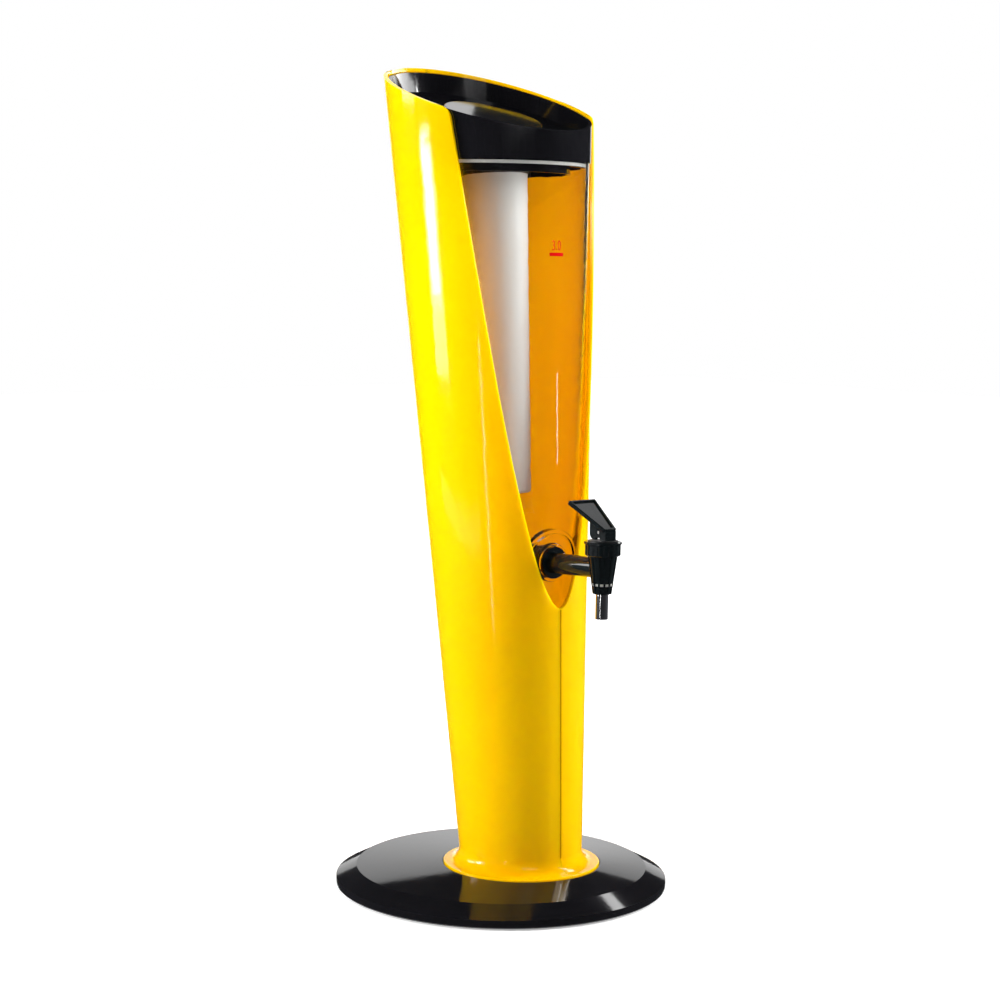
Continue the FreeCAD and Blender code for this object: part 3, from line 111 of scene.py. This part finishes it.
class Maker:
    """One procedural material with a Principled shader, built up call by call."""

    def __init__(self, name, color, roughness, **sockets):
        self.material = bpy.data.materials.new(name)
        self.material.use_nodes = True
        self.tree = self.material.node_tree
        self.shader = self.tree.nodes["Principled BSDF"]
        self.shader.inputs["Base Color"].default_value = (*color, 1)
        self.shader.inputs["Roughness"].default_value = roughness
        self.color = color
        for socket, value in sockets.items():
            self.shader.inputs[socket.replace("_", " ")].default_value = value
        self.place = self.add("ShaderNodeTexCoord").outputs["Object"]

    def add(self, kind, **settings):
        made = self.tree.nodes.new(kind)
        for key, value in settings.items():
            setattr(made, key, value)
        return made

    def link(self, source, target):
        self.tree.links.new(source, target)

    def noise(self, scale, detail, stretch=(1, 1, 1)):
        mapping = self.add("ShaderNodeMapping")
        mapping.inputs["Scale"].default_value = stretch
        self.link(self.place, mapping.inputs["Vector"])
        texture = self.add("ShaderNodeTexNoise")
        texture.inputs["Scale"].default_value = scale
        texture.inputs["Detail"].default_value = detail
        self.link(mapping.outputs["Vector"], texture.inputs["Vector"])
        return texture.outputs["Fac"]

    def ranged(self, value, low, high, start=NOISE_LOW, end=NOISE_HIGH):
        """Maps a value from start..end to low..high, and no further."""
        made = self.add("ShaderNodeMapRange")
        made.inputs["From Min"].default_value = start
        made.inputs["From Max"].default_value = end
        made.inputs["To Min"].default_value = low
        made.inputs["To Max"].default_value = high
        self.link(value, made.inputs["Value"])
        return made.outputs["Result"]

    def vary_color(self, value, other):
        """Base colour that moves from the plain colour to another with a value."""
        mix = self.add("ShaderNodeMix", data_type="RGBA")
        mix.inputs["A"].default_value = (*self.color, 1)
        mix.inputs["B"].default_value = (*other, 1)
        self.link(self.ranged(value, 0, 1), mix.inputs["Factor"])
        self.link(mix.outputs["Result"], self.shader.inputs["Base Color"])

    def vary_roughness(self, value, low, high):
        self.link(self.ranged(value, low, high), self.shader.inputs["Roughness"])

    def bump(self, value, distance):
        made = self.add("ShaderNodeBump")
        made.inputs["Strength"].default_value = 1.0
        made.inputs["Distance"].default_value = distance
        self.link(value, made.inputs["Height"])
        self.link(made.outputs["Normal"], self.shader.inputs["Normal"])


def glossy_yellow():
    made = Maker("yellow_gloss", (1.0, 0.44, 0.0), 0.07, Specular_IOR_Level=0.35,
                 Subsurface_Weight=0.85, Subsurface_Radius=(1.0, 0.8, 0.03),
                 Subsurface_Scale=0.013)
    made.vary_color(made.noise(9, 2), (0.98, 0.425, 0.0))
    made.vary_roughness(made.noise(30, 4), 0.05, 0.09)
    made.bump(made.noise(180, 2, stretch=(1, 1, 0.6)), 0.00003)
    return made.material


def glossy_black(name, color, low, high):
    made = Maker(name, color, low, Specular_IOR_Level=0.45)
    made.vary_color(made.noise(14, 3), tuple(c * 1.6 for c in color))
    made.vary_roughness(made.noise(42, 5), low, high)
    made.bump(made.noise(220, 2), 0.00002)
    return made.material


def satin_black():
    made = Maker("black_satin", (0.008, 0.008, 0.009), 0.38)
    made.vary_color(made.noise(60, 4), (0.013, 0.013, 0.014))
    made.vary_roughness(made.noise(120, 4), 0.32, 0.46)
    made.bump(made.noise(900, 3), 0.00006)
    return made.material


def rubber():
    made = Maker("black_rubber", (0.012, 0.012, 0.012), 0.7, Specular_IOR_Level=0.3)
    made.vary_color(made.noise(90, 4), (0.02, 0.02, 0.02))
    made.bump(made.noise(700, 4), 0.0001)
    return made.material


def silicone():
    made = Maker("clear_silicone", (0.82, 0.82, 0.78), 0.35, Transmission_Weight=0.4, IOR=1.41)
    made.vary_color(made.noise(120, 3), (0.72, 0.72, 0.67))
    made.bump(made.noise(500, 3), 0.00004)
    return made.material


def steel(name, color, low, high, stretch=(1, 1, 1)):
    made = Maker(name, color, low, Metallic=1.0)
    made.vary_color(made.noise(150, 4, stretch=stretch), tuple(c * 0.8 for c in color))
    made.vary_roughness(made.noise(300, 5, stretch=stretch), low, high)
    made.bump(made.noise(600, 3, stretch=stretch), 0.00002)
    return made.material


def clear_plastic():
    made = Maker("clear_plastic", (0.97, 0.985, 0.98), 0.02, Transmission_Weight=1.0, IOR=1.49)
    made.vary_roughness(made.noise(40, 4), 0.0, 0.02)
    made.bump(made.noise(12, 1), 0.000004)
    return made.material


def frosted_white():
    made = Maker("white_frosted", (0.86, 0.85, 0.82), 0.4, Transmission_Weight=0.25, IOR=1.45)
    made.vary_color(made.noise(20, 3), (0.8, 0.78, 0.75))
    made.vary_roughness(made.noise(70, 4), 0.34, 0.48)
    made.bump(made.noise(450, 3), 0.00005)
    return made.material


def printed_red():
    made = Maker("printed_red", (0.6, 0.0, 0.0), 0.5, Specular_IOR_Level=0.05)
    made.vary_color(made.noise(600, 3), (0.5, 0.0, 0.0))
    made.bump(made.noise(1500, 2), 0.00001)
    return made.material


def seam_shadow():
    # painted shade: a dark amber strip stands in for the shadow in the narrow gap between the
    # shell halves
    made = Maker("seam_shadow", (0.36, 0.12, 0.0), 0.5, Specular_IOR_Level=0.0)
    made.vary_color(made.noise(80, 3), (0.42, 0.15, 0.0))
    return made.material


MATERIALS = {
    "yellow_gloss": glossy_yellow(),
    "black_gloss": glossy_black("black_gloss", (0.004, 0.004, 0.005), 0.06, 0.12),
    "black_tap": glossy_black("black_tap", (0.003, 0.0045, 0.005), 0.08, 0.14),
    "black_satin": satin_black(),
    "black_rubber": rubber(),
    "clear_silicone": silicone(),
    "ballast_steel": steel("ballast_steel", (0.1, 0.1, 0.11), 0.4, 0.55),
    "screw_steel": steel("screw_steel", (0.62, 0.62, 0.63), 0.22, 0.34, stretch=(1, 1, 8)),
    "spring_steel": steel("spring_steel", (0.55, 0.56, 0.57), 0.2, 0.3),
    "chrome_tube": steel("chrome_tube", (0.75, 0.75, 0.76), 0.05, 0.1, stretch=(1, 1, 0.05)),
    "clear_plastic": clear_plastic(),
    "white_frosted": frosted_white(),
}

for subpart in frame["record"]["subparts"]:
    shown = NODES[subpart["node"]]
    for slot in shown.material_slots:
        slot.material = MATERIALS[subpart["material_slot"]]

# light passes the clear container on its way to the inside of the shell
NODES["container"].visible_shadow = False
NODES["container"].visible_diffuse = False


# Level mark and seams

def container_place(across, level):
    """Point just outside the container's front: arc length from the middle, and height."""
    radius = cone_radius(level) - CONTAINER_INSET + MARK_PROUD
    turn = across / radius
    return Vector((
        radius * math.sin(turn), cone_middle(level) - radius * math.cos(turn), level))


def print_on_container(mesh, name):
    """Wraps a flat mesh, drawn in X and Z, round the container's front."""
    for point in mesh.vertices:
        point.co = container_place(point.co.x, point.co.z)
    mesh.materials.clear()
    mesh.materials.append(printed_red())
    mesh.update()
    mark = add_to_scene(name, mesh)
    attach(mark, "vessel")


def bar_mesh():
    low, high = BAR_LEVELS
    left, right = BAR_ACROSS
    mesh = bpy.data.meshes.new("level_bar")
    points = []
    for index in range(BAR_STEPS + 1):
        across = left + (right - left) * index / BAR_STEPS
        points += [(across, 0, low), (across, 0, high)]
    faces = [(2 * i, 2 * i + 2, 2 * i + 3, 2 * i + 1) for i in range(BAR_STEPS)]
    mesh.from_pydata(points, [], faces)
    return mesh


def number_mesh():
    """The number in Blender's own font, as a flat mesh between two levels."""
    low, high = NUMBER_LEVELS
    curve = bpy.data.curves.new("level_number", "FONT")
    curve.body = NUMBER
    curve.align_x = "CENTER"
    drawn = add_to_scene("level_number_curve", curve)
    bpy.context.view_layer.update()
    mesh = bpy.data.meshes.new_from_object(drawn)
    bpy.data.objects.remove(drawn)
    bottom = min(point.co.y for point in mesh.vertices)
    top = max(point.co.y for point in mesh.vertices)
    scale = (high - low) / (top - bottom)
    for point in mesh.vertices:
        across = point.co.x * scale * NUMBER_NARROW
        point.co = Vector((across, 0, low + (point.co.y - bottom) * scale))
    return mesh


def make_seam(name, side, top):
    """Painted shade of the joint gap up the shell: side is -1 for the front and 1 for the
    back.
    """
    mesh = bpy.data.meshes.new(name)
    points = []
    for index in range(SEAM_STEPS + 1):
        level = SEAM_FOOT + (top - SEAM_FOOT) * index / SEAM_STEPS
        depth = cone_middle(level) + side * (cone_radius(level) + SEAM_PROUD)
        points += [(-SEAM_HALF_WIDTH, depth, level), (SEAM_HALF_WIDTH, depth, level)]
    faces = [(2 * i, 2 * i + 1, 2 * i + 3, 2 * i + 2) for i in range(SEAM_STEPS)]
    mesh.from_pydata(points, [], faces)
    mesh.materials.append(seam_shadow())
    seam = add_to_scene(name, mesh)
    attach(seam, "stand")


make_seam("seam_front", -1, SEAM_FRONT_TOP)
make_seam("seam_back", 1, SEAM_BACK_TOP)

print_on_container(bar_mesh(), "level_bar")
print_on_container(number_mesh(), "level_number")


# Floor, surround, world, lamps and camera

def background_rays(tree):
    """1 for rays that show the background: camera, mirrored and through clear plastic."""
    paths = tree.nodes.new("ShaderNodeLightPath")
    seen = paths.outputs["Is Camera Ray"]
    for kind in ("Is Glossy Ray", "Is Transmission Ray"):
        either = tree.nodes.new("ShaderNodeMath")
        either.operation = "MAXIMUM"
        tree.links.new(seen, either.inputs[0])
        tree.links.new(paths.outputs[kind], either.inputs[1])
        seen = either.outputs[0]
    return seen


def make_floor():
    """Pale floor that fades to the white background away from the object."""
    mesh = bpy.data.meshes.new("floor")
    half = FLOOR_HALF
    corners = [(-half, -half, 0), (half, -half, 0), (half, half, 0), (-half, half, 0)]
    mesh.from_pydata(corners, [], [(0, 1, 2, 3)])
    floor = add_to_scene("floor", mesh)
    made = Maker("floor", (0.86, 0.86, 0.86), 0.6, Specular_IOR_Level=0.1)
    made.vary_color(made.noise(3, 2), (0.85, 0.85, 0.85))
    away = made.add("ShaderNodeVectorMath", operation="LENGTH")
    made.link(made.place, away.inputs[0])
    glow = made.ranged(away.outputs["Value"], *FLOOR_GLOW, *FLOOR_FADE)
    made.shader.inputs["Emission Color"].default_value = WHITE
    lift = made.add("ShaderNodeMath", operation="MULTIPLY")
    made.link(glow, lift.inputs[0])
    made.link(background_rays(made.tree), lift.inputs[1])
    made.link(lift.outputs["Value"], made.shader.inputs["Emission Strength"])
    mesh.materials.append(made.material)


def bearing_place(bearing, distance, level):
    """Point at a bearing in degrees, counted from the tap's side towards -X."""
    turn = math.radians(bearing)
    return Vector((-math.sin(turn) * distance, -math.cos(turn) * distance, level))


def surround_mesh():
    """Floor ring, two rows of wall and ceiling, with a window behind the object."""
    outline = [
        (SURROUND_INNER, SURROUND_FLOOR), (SURROUND_REACH, SURROUND_FLOOR),
        (SURROUND_REACH, WINDOW_TOP), (SURROUND_REACH, SURROUND_HEIGHT),
        (CEILING_HOLE, SURROUND_HEIGHT),
    ]
    mesh = bmesh.new()
    rings = []
    for index in range(SURROUND_STEPS):
        bearing = CAMERA_BEARING + 360 * index / SURROUND_STEPS
        rings.append([mesh.verts.new(bearing_place(bearing, *point)) for point in outline])
    for index in range(SURROUND_STEPS):
        one, two = rings[index], rings[(index + 1) % SURROUND_STEPS]
        middle = 360 * (index + 0.5) / SURROUND_STEPS
        in_window = WINDOW_FROM < middle < 360 - WINDOW_FROM
        for row in range(WINDOW_ROWS if in_window else 0, len(outline) - 1):
            mesh.faces.new((one[row], two[row], two[row + 1], one[row + 1]))
    data = bpy.data.meshes.new("surround")
    mesh.to_mesh(data)
    mesh.free()
    return data


def make_surround():
    """Dark studio walls, seen only in reflections."""
    data = surround_mesh()
    surround = add_to_scene("surround", data)
    made = Maker("surround", (0.02, 0.02, 0.022), 0.9, Specular_IOR_Level=0.0)
    made.vary_color(made.noise(1.5, 2), (0.03, 0.03, 0.033))
    # a ray that has only passed through the clear container sees the background
    paths = made.add("ShaderNodeLightPath")
    unmirrored = made.add("ShaderNodeMath", operation="LESS_THAN")
    unmirrored.inputs[1].default_value = UNMIRRORED_DEPTH
    made.link(paths.outputs["Glossy Depth"], unmirrored.inputs[0])
    through = made.add("ShaderNodeMath", operation="MULTIPLY")
    made.link(unmirrored.outputs["Value"], through.inputs[0])
    made.link(paths.outputs["Is Transmission Ray"], through.inputs[1])
    clear = made.add("ShaderNodeBsdfTransparent")
    mix = made.add("ShaderNodeMixShader")
    made.link(through.outputs["Value"], mix.inputs["Fac"])
    made.link(made.shader.outputs["BSDF"], mix.inputs[1])
    made.link(clear.outputs["BSDF"], mix.inputs[2])
    made.link(mix.outputs["Shader"], made.tree.nodes["Material Output"].inputs["Surface"])
    data.materials.append(made.material)
    surround.visible_camera = False
    surround.visible_diffuse = False
    surround.visible_shadow = False


def make_world():
    """Soft light from all round, with the background's white for the rays that show it."""
    world = bpy.data.worlds.new("studio")
    world.use_nodes = True
    scene.world = world
    tree = world.node_tree
    back = tree.nodes["Background"]
    back.inputs["Color"].default_value = WHITE
    level = tree.nodes.new("ShaderNodeMapRange")
    level.inputs["To Min"].default_value = AMBIENT
    level.inputs["To Max"].default_value = BACKGROUND
    tree.links.new(background_rays(tree), level.inputs["Value"])
    tree.links.new(level.outputs["Result"], back.inputs["Strength"])


def softbox(name, bearing, distance, level, size, power, lights=True, mirrored=True,
            aim=0.35, spread=180):
    """Rectangular area lamp that faces the tower at the level aim.

    It lights the object, is mirrored in it, or both.
    """
    place = bearing_place(bearing, distance, level)
    lamp = bpy.data.lights.new(name, "AREA")
    lamp.shape = "RECTANGLE"
    lamp.size, lamp.size_y = size
    lamp.energy = power
    lamp.spread = math.radians(spread)
    made = add_to_scene(name, lamp)
    turn = (Vector((0, 0, aim)) - place).to_track_quat("-Z", "Y")
    made.matrix_world = Matrix.Translation(place) @ turn.to_matrix().to_4x4()
    made.visible_camera = False
    made.visible_diffuse = lights
    made.visible_glossy = mirrored
    made.visible_transmission = False


def highlight(name, bearing, distance, level, size, power, **settings):
    """Strip or panel that lights nothing and is only mirrored."""
    softbox(name, bearing, distance, level, size, power, lights=False, **settings)


def make_lamps():
    """Each lamp's bearing, distance, level, size and power, in that order."""
    softbox("key_left", 116, 1.7, 0.8, (0.9, 1.7), 60, mirrored=False)
    softbox("fill_right", -66, 2.0, 0.9, (1.6, 2.0), 106, mirrored=False)
    softbox("top", 20, 2.1, 2.0, (1.2, 1.2), 6)
    # long highlight down the shell's left side, with a softer one round it
    highlight("strip_left", 119, 1.2, 0.47, (0.26, 0.2), 4.2, aim=0.47)
    highlight("strip_soft", 119, 1.21, 0.41, (0.4, 0.28), 2.8, aim=0.41)
    # thin line on the lower tower, and the shine on the flange and base plate
    highlight("strip_near", 66, 1.2, 0.19, (0.017, 0.36), 0.3, aim=0.19)
    highlight("panel_near", 108, 1.1, 0.105, (1.3, 0.045), 0.13, aim=0.105)
    highlight("panel_left", 142, 2.0, 0.85, (0.7, 0.5), 9)
    highlight("panel_high", -115, 1.6, 1.8, (0.5, 0.5), 0.8)
    # thin line in the container
    highlight("strip_front", -41, 2.2, 0.315, (0.03, 0.16), 0.35, aim=0.315)
    # patches on the lid's inner wall and on the cap
    highlight("strip_side", -68, 0.75, 0.76, (0.02, 0.14), 0.5, aim=0.76)
    highlight("panel_front", 12, 0.65, 0.75, (0.52, 0.12), 0.75, aim=0.75, spread=60)
    highlight("panel_right", -80, 0.7, 0.75, (1.0, 0.12), 2.6, aim=0.75)
    highlight("panel_cap", -154, 0.71, 1.03, (0.4, 0.4), 0.6, aim=0.6)


def make_camera():
    """Camera of the photograph: place, heading, tilt and roll from the fitted outline."""
    bearing, distance, height = 0.6914, 1.6865, 0.4732
    yaw, pitch, roll = -0.003, 0.103, 0.015
    level_right = Vector((1, 0, 0))
    forward = Vector((0, math.cos(pitch), -math.sin(pitch)))
    level_up = Vector((0, math.sin(pitch), math.cos(pitch)))
    right = level_right * math.cos(roll) + level_up * math.sin(roll)
    up = level_up * math.cos(roll) - level_right * math.sin(roll)
    turn = Matrix.Rotation(-(bearing + yaw), 3, "Z")
    axes = [turn @ right, turn @ up, turn @ -forward]
    data = bpy.data.cameras.new("camera")
    data.sensor_width = 36.0
    data.lens = 79.96
    data.clip_end = 50
    made = add_to_scene("camera", data)
    matrix = Matrix(axes).transposed().to_4x4()
    matrix.translation = (
        -distance * math.sin(bearing), -distance * math.cos(bearing), height)
    made.matrix_world = matrix
    scene.camera = made


make_floor()
make_surround()
make_world()
make_lamps()
make_camera()
